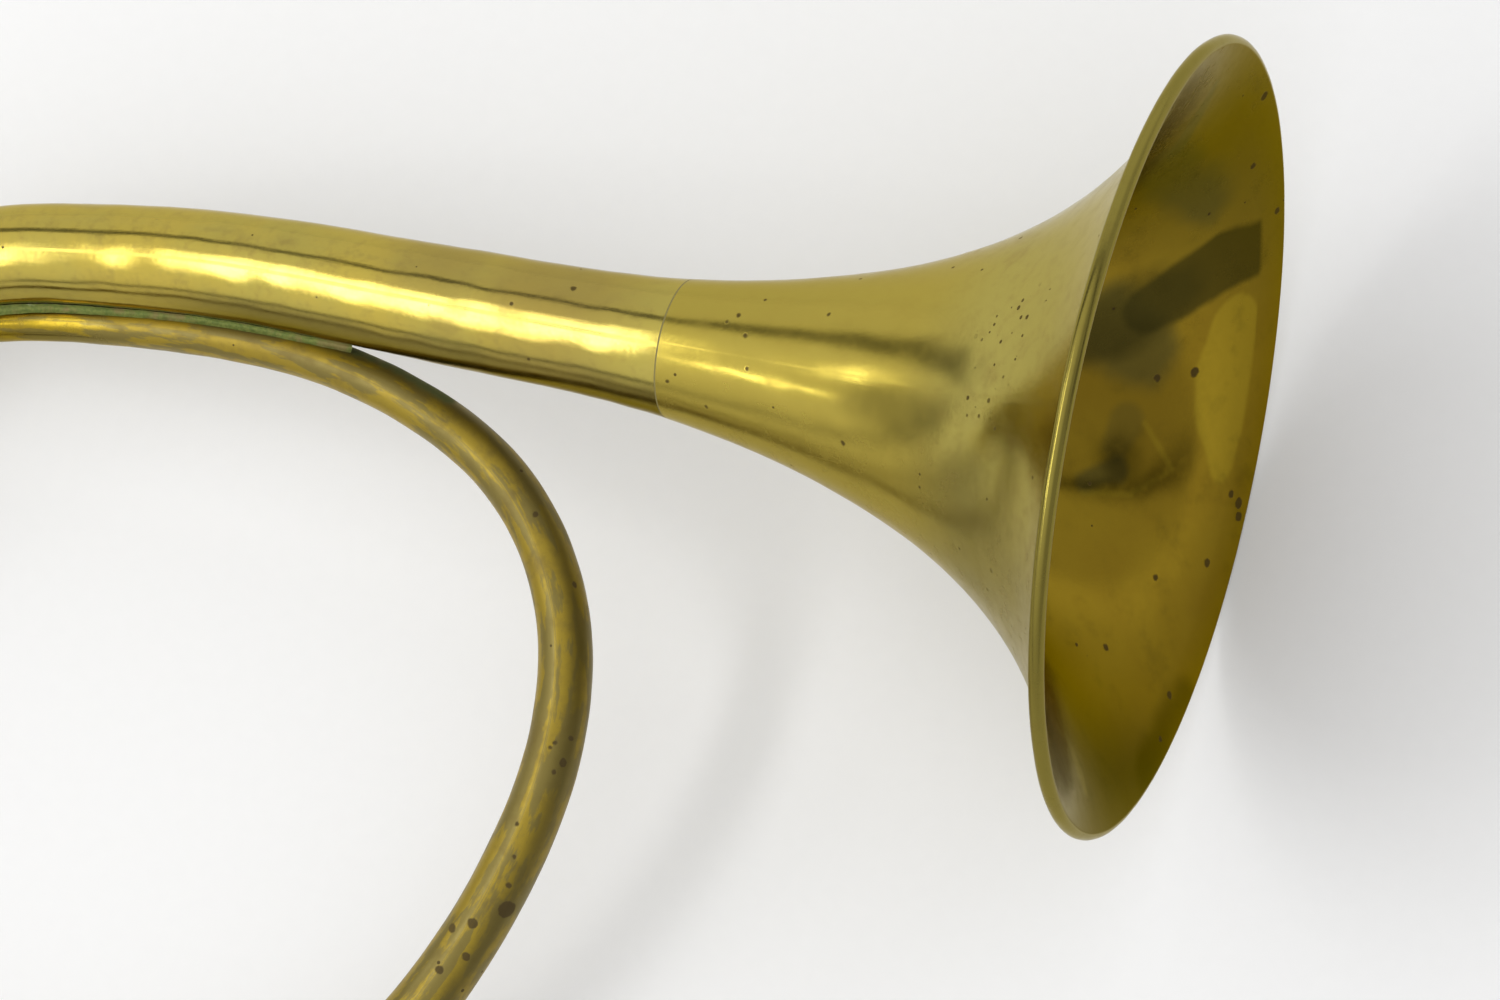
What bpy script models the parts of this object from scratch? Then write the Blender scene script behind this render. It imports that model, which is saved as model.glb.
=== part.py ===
"""Natural brass horn: a spun bell on one turn of conical tube, with a loose mouthpiece.

Lengths are in millimetres in a horn frame of its own: the bell's axis is X, with the
mouth plane at x = 0 and the tube running to -X; the coil lies in the XY plane, below
the bell's axis; +Z is the side that faces up when the horn lies on a table.  At the end
an empty turns that frame into the lying position, in metres, with +Z up.
"""
import math

import bpy
import bmesh
import numpy as np
from mathutils import Euler, Vector

MM = 0.001
GAP = 0.3                    # clearance between pieces that touch on the real horn

# Bell.
MOUTH_RADIUS = 81.8          # over the rolled bead
SHEET = 0.7                  # wall of the bell and the tubes
BEAD_RADIUS = 1.55           # outside of the rolled bead
WIRE_RADIUS = 0.62           # wire that the bead is rolled over
FLARE_REACH = 64.6           # how fast the flare opens: larger is slower
FLARE_POWER = 1.76
BELL_JOINT = 105.0           # from the mouth plane to the lap joint with the tail
BELL_LAP = 9.0               # length of the tail's neck inside the flare
SOLDER_LINE = 0.6            # width of the solder that shows in the lap joint
BELL_SIDES = 40
TAIL_SIDES = 20
COIL_SIDES = 16
PIPE_SIDES = 12
TURNED_SIDES = 24            # receiver and mouthpiece

# Tube.
TAIL_RADIUS = 13.0           # outside radius of the tail where the flare has died away
TAIL_STATION = 138.0
TAIL_TAPER = 0.0172          # radius lost for each unit of length along the tail
COIL_STATION = 270.0         # where the coil's slower taper takes over
COIL_RADIUS = 10.75
COIL_TAPER = 0.01
PIPE_RADIUS = 4.0            # the mouthpipe's straight end
TAIL_JOINT = 352.0           # places along the tube, from the mouth plane
COIL_JOINT = 566.0
PIPE_JOINT = 1004.0
PIPE_END = 1046.0
FERRULE_LENGTH = 15.0
FERRULE_WALL = 0.9

# Route of the tube's centre line.
TAIL_STRAIGHT = 195.0        # the tail is straight this far, then bends down
TAIL_BEND_RADIUS = 340.0
COIL_CENTRE = (-236.0, -105.0)
NEST_ANGLE = math.radians(25.0)      # how far the thin tube lies behind the tail's side
PIPE_HEADING = math.radians(192.0)
PIPE_BEHIND = -15.0          # the pipe passes behind the coil's left side
PIPE_LEVEL = 66.0            # past this much pipe it rises again, towards the player
PIPE_RISE = 0.13

# Solder between the nested tubes, and the saddle where the pipe crosses the coil.
SOLDER_START = 204.0
SOLDER_END = 262.0
SADDLE_HALF_WIDTH = 6.0

# Receiver and mouthpiece, along the pipe's straight end.
RECEIVER_LENGTH = 40.0
RECEIVER_RADIUS = 5.6
PIPE_SOCKET = 12.0
RING_LENGTH = 5.0
RING_WALL = 1.3
SHANK_IN = 25.0              # length of shank inside the receiver
MOUTHPIECE_LENGTH = 64.0
CUP_RADIUS = 12.2
CUP_BORE = 8.6
THROAT_RADIUS = 2.1

# Lying on a table: the rim, the coil and the mouthpiece all touch it.
LIE_ROLL = math.radians(10.40)
LIE_PITCH = math.radians(-7.65)


def clear_scene():
    for item in list(bpy.data.objects):
        bpy.data.objects.remove(item, do_unlink=True)


def brass(name, colour, roughness):
    """A metal material named after the piece that wears it."""
    made = bpy.data.materials.new(name)
    made.use_nodes = True
    shader = made.node_tree.nodes["Principled BSDF"]
    shader.inputs["Base Color"].default_value = (*colour, 1.0)
    shader.inputs["Roughness"].default_value = roughness
    shader.inputs["Metallic"].default_value = 1.0
    return made


# ---------------------------------------------------------------- the tube's laws

def bell_radius(along):
    """Outside radius of the flare and the tail, from the mouth plane back."""
    flare = (MOUTH_RADIUS - 1.2) * (FLARE_REACH / (FLARE_REACH + along)) ** FLARE_POWER
    cone = TAIL_RADIUS - TAIL_TAPER * (along - TAIL_STATION)
    return (flare ** 16 + cone ** 16) ** (1 / 16)


def outside(along):
    """Outside radius of the tube anywhere along its route."""
    if along < COIL_STATION:
        return bell_radius(along)
    return max(COIL_RADIUS - COIL_TAPER * (along - COIL_STATION), PIPE_RADIUS)


def tail_drop(x):
    """Height of the tail's centre line at -x."""
    return -max(x - TAIL_STRAIGHT, 0.0) ** 2 / (2 * TAIL_BEND_RADIUS)


# Clock angle in degrees, distance from the coil's centre, height: the coil's stations.
COIL_STATIONS = (
    (137, 102.0, 1.6), (158, 101.2, 2.7), (184, 101.5, 2.6), (215, 102.0, 1.3),
    (250, 102.0, -0.7), (285, 101.8, -2.9), (314, 104.2, -4.8), (341, 108.2, -5.9),
    (356, 112.9, -6.3), (371, 119.3, -6.5), (384, 121.9, -6.7), (397, 118.2, -6.9),
    (410, 108.9, -7.1), (424, 98.9, -7.3),
)


def nested(x, thin):
    """Centre of the thin tube where it lies against the tail's underside at -x."""
    slope = math.atan(max(x - TAIL_STRAIGHT, 0.0) / TAIL_BEND_RADIUS)
    reach = bell_radius(x) + thin + GAP + 0.1
    side = reach * math.cos(NEST_ANGLE)
    return (
        -x + side * math.sin(slope),
        tail_drop(x) - side * math.cos(slope),
        -reach * math.sin(NEST_ANGLE),
    )


def along_pipe(last, step, height):
    """A point of the mouthpipe, a step on from the end of the nested stretch."""
    x = last[0] + step * math.cos(PIPE_HEADING)
    return x, last[1] + step * math.sin(PIPE_HEADING), height


def route_stations():
    """Points that the centre line passes through, from the mouth to the pipe's end."""
    points = [(-x, 0.0, 0.0) for x in np.linspace(0.0, TAIL_STRAIGHT, 9)]
    points += [(-x, tail_drop(x), 0.0) for x in (218.0, 242.0, 266.0)]
    for clock, reach, height in COIL_STATIONS:
        turn = math.radians(clock)
        points.append((
            COIL_CENTRE[0] + reach * math.cos(turn),
            COIL_CENTRE[1] + reach * math.sin(turn),
            height,
        ))
    points += [nested(x, thin) for x, thin in ((208.0, 4.8), (226.0, 4.6), (244.0, 4.45))]
    last = nested(262.0, 4.3)
    points.append(last)
    points.append(along_pipe(last, 21.0, (last[2] + PIPE_BEHIND) / 2))
    for step in (44.0, 74.0, 104.0, 130.0, 156.0, 182.0):
        rise = PIPE_RISE * max(step - PIPE_LEVEL, 0.0)
        points.append(along_pipe(last, step, PIPE_BEHIND + rise))
    return np.array(points)


class Route:
    """A natural cubic spline through the stations, with frames that don't twist."""

    def __init__(self, points):
        self.points = points
        steps = np.linalg.norm(np.diff(points, axis=0), axis=1)
        self.knots = np.concatenate(([0.0], np.cumsum(steps)))
        count = len(points)
        system = np.eye(count)
        right = np.zeros_like(points)
        for i in range(1, count - 1):
            system[i, i - 1:i + 2] = steps[i - 1], 2 * (steps[i - 1] + steps[i]), steps[i]
            right[i] = 6 * (
                (points[i + 1] - points[i]) / steps[i]
                - (points[i] - points[i - 1]) / steps[i - 1]
            )
        self.bend = np.linalg.solve(system, right)

    def point(self, along):
        i = int(np.clip(np.searchsorted(self.knots, along) - 1, 0, len(self.points) - 2))
        step = self.knots[i + 1] - self.knots[i]
        a = (self.knots[i + 1] - along) / step
        b = 1 - a
        curve = (a ** 3 - a) * self.bend[i] + (b ** 3 - b) * self.bend[i + 1]
        return Vector(a * self.points[i] + b * self.points[i + 1] + curve * step ** 2 / 6)

    def heading(self, along):
        return (self.point(along + 0.05) - self.point(along - 0.05)).normalized()

    def frames(self, places):
        """Centre, and two directions across the tube, at each place along it."""
        across = Vector((0.0, 0.0, 1.0))
        found = []
        for along in places:
            ahead = self.heading(along)
            across = (across - ahead * across.dot(ahead)).normalized()
            found.append((self.point(along), across.copy(), ahead.cross(across)))
        return found


ROUTE = Route(route_stations())


def spaced(start, end, step):
    """Evenly spaced places from start to end, about step apart."""
    return list(np.linspace(start, end, max(2, round((end - start) / step) + 1)))


# ---------------------------------------------------------------- mesh builders

def add_object(name, rows, colour, roughness, parent, cover=True):
    """Join closed rows of points into one closed skin; the last row meets the first."""
    shape = bmesh.new()
    rings = [[shape.verts.new(Vector(point) * MM) for point in row] for row in rows]
    sides = len(rings[0])
    pairs = list(zip(rings, rings[1:] + rings[:1])) if cover else list(zip(rings, rings[1:]))
    for ring, following in pairs:
        for k in range(sides):
            nearby = (k + 1) % sides
            shape.faces.new((ring[k], ring[nearby], following[nearby], following[k]))
    if not cover:
        shape.faces.new(rings[0])
        shape.faces.new(rings[-1])
    bmesh.ops.recalc_face_normals(shape, faces=shape.faces)
    mesh = bpy.data.meshes.new(name)
    shape.to_mesh(mesh)
    shape.free()
    mesh.shade_smooth()
    mesh.set_sharp_from_angle(angle=math.radians(40))
    mesh.materials.append(brass(name, colour, roughness))
    made = bpy.data.objects.new(name, mesh)
    bpy.context.scene.collection.objects.link(made)
    made.parent = parent
    return made


def circle(centre, across, beside, radius, sides):
    turns = (2 * math.pi * k / sides for k in range(sides))
    return [centre + (across * math.cos(t) + beside * math.sin(t)) * radius for t in turns]


def along_route(name, outline, sides, colour, roughness, parent):
    """Sweep a closed outline of (place, radius) pairs along the route."""
    places = sorted({round(float(along), 4) for along, _ in outline})
    frames = dict(zip(places, ROUTE.frames(places)))
    rows = []
    for along, radius in outline:
        centre, across, beside = frames[round(float(along), 4)]
        rows.append(circle(centre, across, beside, radius, sides))
    return add_object(name, rows, colour, roughness, parent)


def turned(name, outline, start, ahead, sides, colour, roughness, parent):
    """Turn a closed outline of (place, radius) pairs about a straight axis."""
    across = Vector((0.0, 0.0, 1.0))
    across = (across - ahead * across.dot(ahead)).normalized()
    beside = ahead.cross(across)
    rows = [circle(start + ahead * along, across, beside, r, sides) for along, r in outline]
    return add_object(name, rows, colour, roughness, parent)


def tube_outline(start, end, step):
    """Outline of a plain length of tube: outside forwards, inside back."""
    places = spaced(start, end, step)
    outline = [(along, outside(along)) for along in places]
    return outline + [(along, outside(along) - SHEET) for along in reversed(places)]


# ---------------------------------------------------------------- bell

def flare_normal(along):
    """Unit vector square to the flare's outside, in (x, radius), pointing outwards."""
    rise = (bell_radius(along - 0.1) - bell_radius(along + 0.1)) / 0.2
    return Vector((-rise, 1.0)).normalized()


def bead_centre():
    """Centre of the rolled bead, in (x, radius): its front lies in the mouth plane."""
    return Vector((-BEAD_RADIUS, MOUTH_RADIUS - BEAD_RADIUS))


def bell_outline():
    """Closed outline of the flare and its rolled bead, as (x, radius)."""
    start, end = 3.4, BELL_JOINT
    count = 13
    places = [start + (end - start) * (k / count) ** 1.5 for k in range(count + 1)]
    back = [Vector((-along, bell_radius(along))) for along in places]
    front = [
        Vector((-along, bell_radius(along))) - flare_normal(along) * SHEET for along in places
    ]
    front[-1].x = -end
    centre = bead_centre()
    turns = [math.radians(a) for a in (-15, 15, 45, 75, 105, 135, 165, 195, 225, 248)]
    arc = [Vector((math.cos(t), math.sin(t))) for t in turns]
    over = [centre + way * BEAD_RADIUS for way in arc]
    under = [centre + way * (BEAD_RADIUS - SHEET + 0.05) for way in arc]
    under[0] = centre + Vector((math.cos(math.radians(-24)), math.sin(math.radians(-24)))) * (
        BEAD_RADIUS - SHEET + 0.05)
    return [tuple(p) for p in back[::-1] + under + over[::-1] + front]


def build_bell(parent):
    outline = bell_outline()
    axis = Vector((1.0, 0.0, 0.0))
    turned("bell_flare", outline, Vector((0, 0, 0)), axis, BELL_SIDES,
           (0.62, 0.50, 0.17), 0.30, parent)
    centre = bead_centre()
    ring = []
    for k in range(6):
        turn = math.radians(60 * k)
        ring.append((centre.x + WIRE_RADIUS * math.cos(turn),
                     centre.y + WIRE_RADIUS * math.sin(turn)))
    turned("bell_rim_wire", ring, Vector((0, 0, 0)), axis, BELL_SIDES,
           (0.45, 0.36, 0.16), 0.45, parent)


# ---------------------------------------------------------------- tubes

def build_tail(parent):
    """The tail, with a neck at its wide end that slips inside the flare."""
    shrink = SHEET + GAP
    shoulder = BELL_JOINT + SOLDER_LINE + 2 * GAP
    neck = [BELL_JOINT - BELL_LAP, shoulder]
    body = [shoulder] + spaced(BELL_JOINT + 12.0, TAIL_JOINT - GAP / 2, 11.5)
    outline = [(along, outside(along) - shrink) for along in neck]
    outline += [(along, outside(along)) for along in body]
    inner = [(along, outside(along) - SHEET) for along in reversed(body)]
    inner[-1] = (shoulder + 2.0, outside(shoulder) - shrink - SHEET)
    outline += inner
    outline.append((neck[0], outside(neck[0]) - shrink - SHEET))
    along_route("bell_tail", outline, TAIL_SIDES, (0.66, 0.54, 0.17), 0.22, parent)


def build_joint_solder(parent):
    """The ring of solder that shows where the flare meets the tail's shoulder."""
    first = BELL_JOINT + GAP
    outline = [(first, outside(first)), (first + SOLDER_LINE, outside(first + SOLDER_LINE))]
    outline += [(along, outside(along) - SHEET) for along in (first + SOLDER_LINE, first)]
    along_route("bell_joint_solder", outline, TAIL_SIDES, (0.50, 0.46, 0.28), 0.5, parent)


def build_coil(parent):
    along_route("coil_lower_branch", tube_outline(TAIL_JOINT + GAP / 2, COIL_JOINT - GAP / 2, 11.5),
                COIL_SIDES, (0.62, 0.50, 0.18), 0.28, parent)
    along_route("coil_upper_branch", tube_outline(COIL_JOINT + GAP / 2, PIPE_JOINT - GAP / 2, 9.0),
                PIPE_SIDES, (0.58, 0.46, 0.17), 0.28, parent)
    along_route("mouthpipe", tube_outline(PIPE_JOINT + GAP / 2, PIPE_END, 14.0),
                PIPE_SIDES, (0.60, 0.48, 0.18), 0.28, parent)


def build_ferrule(name, middle, sides, parent):
    """A band with rounded edges over the joint of two tubes."""
    half = FERRULE_LENGTH / 2
    steps = (-half, -half + 1.0, -half + 2.4, 0.0, half - 2.4, half - 1.0, half)
    crown = (0.35, FERRULE_WALL, FERRULE_WALL - 0.25, FERRULE_WALL - 0.25,
             FERRULE_WALL - 0.25, FERRULE_WALL, 0.35)
    places = [middle + step for step in steps]
    outline = [(p, outside(p) + GAP + lift) for p, lift in zip(places, crown)]
    outline += [(p, outside(p) + GAP) for p in (places[-1], places[3], places[0])]
    along_route(name, outline, sides, (0.55, 0.44, 0.16), 0.32, parent)


# ---------------------------------------------------------------- solder and saddle

def nearest(point, start, end):
    """Place along the route between start and end that comes nearest to a point."""
    places = np.arange(start, end, 0.5)
    return min(places, key=lambda along: (ROUTE.point(along) - point).length)


def build_nest_solder(parent):
    """The fillet of solder in the groove between the tail and the thin tube."""
    rows = []
    for along in spaced(SOLDER_START, SOLDER_END, 8.0):
        middle = ROUTE.point(along)
        ahead = ROUTE.heading(along)
        other = nearest(middle, 820.0, 960.0)
        towards = ROUTE.point(other) - middle
        towards -= ahead * towards.dot(ahead)
        reach = towards.length
        towards.normalize()
        up = ahead.cross(towards).normalized()
        if up.z < 0:
            up = -up
        near, far = outside(along) + GAP, outside(other) + GAP
        ends = (SOLDER_START, SOLDER_END)
        top = 3.3 if along not in ends else 2.6
        row = []
        for height in (1.9, top):
            row.append(middle + up * height + towards * math.sqrt(near ** 2 - height ** 2))
        for height in (top, 1.9):
            inward = reach - math.sqrt(far ** 2 - height ** 2)
            row.append(middle + up * height + towards * inward)
        rows.append(row)
    add_object("nest_solder", rows, (0.42, 0.45, 0.30), 0.6, parent, cover=False)


def plan_distance(along, x, y):
    centre = ROUTE.point(along)
    return math.hypot(centre.x - x, centre.y - y)


def crossing():
    """The two places where the route crosses over itself, seen from above."""
    pairs = [(a, b) for a in np.arange(285.0, 345.0, 1.0) for b in np.arange(940.0, 1000.0, 1.0)]
    spots = {along: ROUTE.point(along) for pair in pairs for along in pair}
    return min(pairs, key=lambda pair: (spots[pair[0]] - spots[pair[1]]).xy.length)


def wall_height(x, y, middle, side):
    """Height of a tube's top (side 1) or underside (side -1) over a point in plan."""
    places = np.arange(middle - 16.0, middle + 16.0, 0.5)
    along = min(places, key=lambda place: plan_distance(place, x, y))
    rise = math.sqrt(outside(along) ** 2 - plan_distance(along, x, y) ** 2)
    return ROUTE.point(along).z + side * rise


def build_saddle(parent):
    """A cast saddle between the coil's left side and the pipe that passes behind it."""
    over, under = crossing()
    middle = ROUTE.point(over)
    coil_way, pipe_way = ROUTE.heading(over).xy.normalized(), ROUTE.heading(under).xy.normalized()
    coil_half = SADDLE_HALF_WIDTH
    pipe_half = PIPE_RADIUS - 0.7
    lean = abs(coil_way.cross(pipe_way))
    cells = 6
    rows = []
    for i in range(cells + 1):
        along_coil = pipe_half * (2 * i / cells - 1) / lean
        upper, lower = [], []
        for j in range(cells + 1):
            spot = middle.xy + coil_way * along_coil
            spot += pipe_way * (coil_half * (2 * j / cells - 1) / lean)
            roof = wall_height(spot.x, spot.y, over, -1) - 2 * GAP
            floor = wall_height(spot.x, spot.y, under, 1) + GAP
            upper.append(Vector((spot.x, spot.y, roof)))
            lower.append(Vector((spot.x, spot.y, floor)))
        rows.append(upper + lower[::-1])
    add_object("crossing_saddle", rows, (0.50, 0.42, 0.20), 0.45, parent, cover=False)


# ---------------------------------------------------------------- receiver and mouthpiece

def build_receiver(parent):
    start, ahead = ROUTE.point(PIPE_END), ROUTE.heading(PIPE_END)
    start = start - ahead * (PIPE_SOCKET - 1.0)
    end = RECEIVER_LENGTH
    outline = [
        (0.0, RECEIVER_RADIUS - 0.7), (0.8, RECEIVER_RADIUS), (end - 0.6, RECEIVER_RADIUS),
        (end, RECEIVER_RADIUS - 0.4), (end, 4.75), (PIPE_SOCKET + 1.0, 3.95),
        (PIPE_SOCKET, 3.95), (PIPE_SOCKET, PIPE_RADIUS + GAP), (0.0, PIPE_RADIUS + GAP),
    ]
    turned("receiver", outline, start, ahead, TURNED_SIDES, (0.58, 0.46, 0.17), 0.28, parent)
    inner = RECEIVER_RADIUS + GAP
    first = end - RING_LENGTH - 1.0
    crown = [(0.0, 0.5), (0.25, 0.85), (0.5, 1.0), (0.75, 0.85), (1.0, 0.5)]
    ring = [(first + RING_LENGTH * u, inner + RING_WALL * lift) for u, lift in crown]
    ring += [(first + RING_LENGTH, inner), (first, inner)]
    turned("receiver_ring", ring, start, ahead, TURNED_SIDES, (0.62, 0.50, 0.18), 0.25, parent)
    return start + ahead * end, ahead


def build_mouthpiece(mouth, ahead, parent):
    """Turned brass mouthpiece; its empty sits on the shank's axis at the receiver."""
    slide = bpy.data.objects.new("mouthpiece_slide", None)
    bpy.context.scene.collection.objects.link(slide)
    slide.parent = parent
    slide.location = mouth * MM
    tip = -SHANK_IN
    rim = tip + MOUTHPIECE_LENGTH
    outer = [
        (tip, 3.55), (0.0, 4.4), (1.6, 4.55), (4.0, 5.3), (5.6, 4.7), (12.0, 5.1), (20.0, 6.9),
        (27.0, 9.1), (31.0, 10.3), (32.4, 11.3), (34.4, 10.9), (36.0, CUP_RADIUS),
        (rim - 1.2, CUP_RADIUS), (rim - 0.3, CUP_RADIUS - 0.9), (rim, CUP_RADIUS - 1.9),
    ]
    inner = [
        (rim, CUP_BORE + 1.0), (rim - 0.8, CUP_BORE), (rim - 5.0, CUP_BORE - 1.0),
        (rim - 13.0, 5.6), (rim - 22.0, 3.3), (rim - 30.0, THROAT_RADIUS), (tip, 2.75),
    ]
    outline = outer + inner
    turned("mouthpiece", outline, Vector((0, 0, 0)), ahead, TURNED_SIDES,
           (0.70, 0.58, 0.22), 0.2, slide)


# ---------------------------------------------------------------- lying position

def lay_down(horn):
    """Turn the horn into its lying position, its box's bottom centre at the origin."""
    horn.rotation_euler = Euler((LIE_ROLL, LIE_PITCH, 0.0), "XYZ")
    bpy.context.view_layer.update()
    corners = []
    for item in bpy.data.objects:
        if item.type == "MESH":
            corners += [item.matrix_world @ vert.co for vert in item.data.vertices]
    low = [min(corner[i] for corner in corners) for i in range(3)]
    high = [max(corner[i] for corner in corners) for i in range(3)]
    horn.location = (-(low[0] + high[0]) / 2, -(low[1] + high[1]) / 2, -low[2])
    bpy.context.view_layer.update()


def main():
    clear_scene()
    horn = bpy.data.objects.new("horn_frame", None)
    bpy.context.scene.collection.objects.link(horn)
    build_bell(horn)
    build_tail(horn)
    build_coil(horn)
    build_joint_solder(horn)
    build_ferrule("tail_ferrule", TAIL_JOINT, TAIL_SIDES, horn)
    build_ferrule("coil_ferrule", COIL_JOINT, COIL_SIDES, horn)
    build_ferrule("mouthpipe_ferrule", PIPE_JOINT, PIPE_SIDES, horn)
    build_nest_solder(horn)
    build_saddle(horn)
    mouth, ahead = build_receiver(horn)
    build_mouthpiece(mouth, ahead, horn)
    lay_down(horn)


main()
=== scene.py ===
"""Looks of a natural brass horn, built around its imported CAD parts.

Lengths are in millimetres in the CAD part's horn frame: the bell's axis is X, with the mouth
plane at x = 0 and the tube running to -X; the coil lies below that axis in the XY plane; +Z
faces up.  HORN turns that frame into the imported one, in metres.
"""
from math import atan, cos, hypot, pi, radians, sin, sqrt, tan

import bpy
import numpy as np
from mathutils import Euler, Matrix, Vector, noise


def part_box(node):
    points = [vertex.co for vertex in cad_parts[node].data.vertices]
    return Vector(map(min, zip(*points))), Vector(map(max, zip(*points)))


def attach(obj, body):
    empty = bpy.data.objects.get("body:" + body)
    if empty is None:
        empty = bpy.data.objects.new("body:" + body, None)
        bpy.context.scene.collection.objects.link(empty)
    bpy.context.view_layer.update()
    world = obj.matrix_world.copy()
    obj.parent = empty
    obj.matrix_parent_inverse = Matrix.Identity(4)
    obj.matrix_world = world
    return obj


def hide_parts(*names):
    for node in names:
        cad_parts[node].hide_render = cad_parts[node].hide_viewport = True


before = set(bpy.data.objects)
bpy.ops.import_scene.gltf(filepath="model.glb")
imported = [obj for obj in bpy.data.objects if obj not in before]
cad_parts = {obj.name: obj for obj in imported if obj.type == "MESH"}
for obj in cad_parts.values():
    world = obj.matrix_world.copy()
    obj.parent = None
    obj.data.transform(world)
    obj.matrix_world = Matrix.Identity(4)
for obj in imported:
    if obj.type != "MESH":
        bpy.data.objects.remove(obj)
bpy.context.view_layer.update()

MM = 0.001
GAP = 0.3
UP = Vector((0.0, 0.0, 1.0))

# --- sizes from the CAD part

MOUTH_RADIUS = 81.8
SHEET = 0.7
BEAD_RADIUS = 1.55
RIM_INSET = 1.2  # of the flare's law, from the mouth's radius
FLARE_REACH, FLARE_POWER = 64.6, 1.76
FLARE_BLEND = 16  # how sharply the flare gives way to the tail's cone
BELL_JOINT = 105.0
BELL_LAP = 9.0
SOLDER_LINE = 0.6
TAIL_RADIUS, TAIL_STATION, TAIL_TAPER = 13.0, 138.0, 0.0172
COIL_RADIUS, COIL_STATION, COIL_TAPER = 10.75, 270.0, 0.01
PIPE_RADIUS = 4.0
TAIL_JOINT, COIL_JOINT, PIPE_JOINT, PIPE_END = 352.0, 566.0, 1004.0, 1046.0
FERRULE_LENGTH, FERRULE_WALL = 15.0, 0.9
TAIL_STRAIGHT = 195.0
TAIL_BEND_RADIUS = 340.0
COIL_CENTRE = (-236.0, -105.0)
NEST_ANGLE = radians(25.0)
PIPE_HEADING = radians(192.0)
PIPE_BEHIND = -15.0
PIPE_LEVEL = 66.0
PIPE_RISE = 0.13
SADDLE_HALF_WIDTH = 6.0
RECEIVER_LENGTH, RECEIVER_RADIUS = 40.0, 5.6
PIPE_SOCKET = 12.0
RING_LENGTH, RING_WALL = 5.0, 1.3
SHANK_IN = 25.0
MOUTHPIECE_LENGTH = 64.0
CUP_RADIUS = 12.2
CUP_BORE = 8.6
THROAT_RADIUS = 2.1
LIE_ROLL, LIE_PITCH = radians(10.40), radians(-7.65)

# --- sizes of the skins

BELL_SIDES = 240
TAIL_SIDES = 96
COIL_SIDES = 72
PIPE_SIDES = 48
TURNED_SIDES = 96

# Unevenness of hand-worked tube.
RIPPLE_HEIGHT, RIPPLE_LENGTH = 0.11, 7.0
SWELL_HEIGHT, SWELL_LENGTH = 0.14, 24.0
SWELL_SHIFT = Vector((7.0, 3.0, 5.0))
RIPPLE_SINK = 0.13  # keeps crests down at the CAD's surface

LAP_SHOWN = 0.85  # how far the flare reaches over the solder
SEAM_CLEAR, SEAM_SINK = 0.01, 0.02  # the solder in that joint
SEAM_LUMP, SEAM_GRAIN = 0.03, 1.5

# The fillet of solder is longer than the CAD's plain solid.
NESTED_STRETCH = (820.0, 960.0)  # where the thin tube can lie against the tail
FILLET_START, FILLET_END = 181.0, 294.0

# Verdigris along the groove, and on the thin tube's outer side.
GROOVE_STEP = 4.0
GROOVE_LIFT = UP * 2.4
STAIN_FULL, STAIN_REACH = 1.2, 2.4
STAINED_COIL = (818.0, 848.0)
COIL_STAIN_STEP = 3.0
COIL_STAIN_INSET = 0.5
COIL_STAIN_LIFT = UP * 1.5

SHARP_ANGLE = radians(38)
SEARCH_STEP = 0.5  # along the route
HEADING_STEP = 0.05


# --- lying position

def horn_matrix():
    """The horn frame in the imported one, found from the rim wire."""
    turn = Euler((LIE_ROLL, LIE_PITCH, 0.0), "XYZ").to_matrix()
    low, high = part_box("bell_rim_wire")
    middle = (low + high) / 2
    place = middle - turn @ Vector((-BEAD_RADIUS * MM, 0.0, 0.0))
    return Matrix.Translation(place) @ turn.to_4x4()


HORN = horn_matrix()


# --- the tube's laws

def bell_radius(along):
    """Outside radius of the flare and the tail."""
    flare = (MOUTH_RADIUS - RIM_INSET) * (FLARE_REACH / (FLARE_REACH + along)) ** FLARE_POWER
    cone = TAIL_RADIUS - TAIL_TAPER * (along - TAIL_STATION)
    return (flare ** FLARE_BLEND + cone ** FLARE_BLEND) ** (1 / FLARE_BLEND)


def outside(along):
    """Outside radius of the tube."""
    if along < COIL_STATION:
        return bell_radius(along)
    return max(COIL_RADIUS - COIL_TAPER * (along - COIL_STATION), PIPE_RADIUS)


def tail_drop(x):
    """Height of the tail's centre line at -x."""
    return -max(x - TAIL_STRAIGHT, 0.0) ** 2 / (2 * TAIL_BEND_RADIUS)


# The centre line's stations: behind the mouth, on the straight tail and its bend,
STRAIGHT_STATIONS = 9
BEND_STATIONS = (218.0, 242.0, 266.0)
# on the coil as clock angle, distance from the coil's centre and height,
COIL_STATIONS = (
    (137, 102.0, 1.6), (158, 101.2, 2.7), (184, 101.5, 2.6), (215, 102.0, 1.3),
    (250, 102.0, -0.7), (285, 101.8, -2.9), (314, 104.2, -4.8), (341, 108.2, -5.9),
    (356, 112.9, -6.3), (371, 119.3, -6.5), (384, 121.9, -6.7), (397, 118.2, -6.9),
    (410, 108.9, -7.1), (424, 98.9, -7.3),
)
# under the tail as distance behind the mouth and the thin tube's radius there,
NEST_STATIONS = ((208.0, 4.8), (226.0, 4.6), (244.0, 4.45), (262.0, 4.3))
NEST_SLACK = 0.1
# and on the mouthpipe as steps on from the last nested one.
PIPE_FIRST_STEP = 21.0
PIPE_STEPS = (44.0, 74.0, 104.0, 130.0, 156.0, 182.0)


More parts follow.
